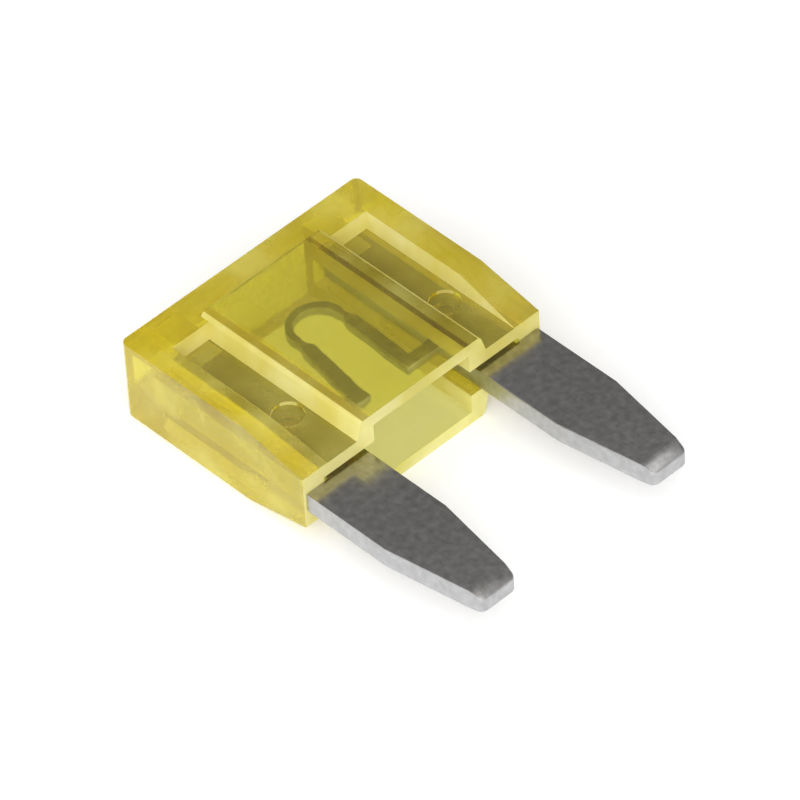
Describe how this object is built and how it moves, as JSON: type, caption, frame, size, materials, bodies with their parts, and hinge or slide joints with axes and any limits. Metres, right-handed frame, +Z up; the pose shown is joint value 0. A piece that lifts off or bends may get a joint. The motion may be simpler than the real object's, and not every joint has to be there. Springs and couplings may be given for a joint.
{
  "type": "automotive blade fuse",
  "caption": "Small automotive blade fuse: a clear yellow moulded housing round a stamped metal element with flat tapered blades and a hairpin fusible link.",
  "frame": {"origin": "Middle of the bounding box on the face the fuse lies on: the flat of the raised boss.", "axes": "+X across the two blades, +Y from the blade tips toward the head, +Z up through the thickness."},
  "size_m": [0.011, 0.0164, 0.0036],
  "materials": {
    "yellow_plastic": "clear polycarbonate tinted yellow, glossy as moulded",
    "zinc_alloy": "stamped zinc alloy, dull dark grey faces and brighter sheared edges"
  },
  "bodies": {
    "root": {"housing": "yellow_plastic", "fuse_element": "zinc_alloy"}
  },
  "joints": []
}
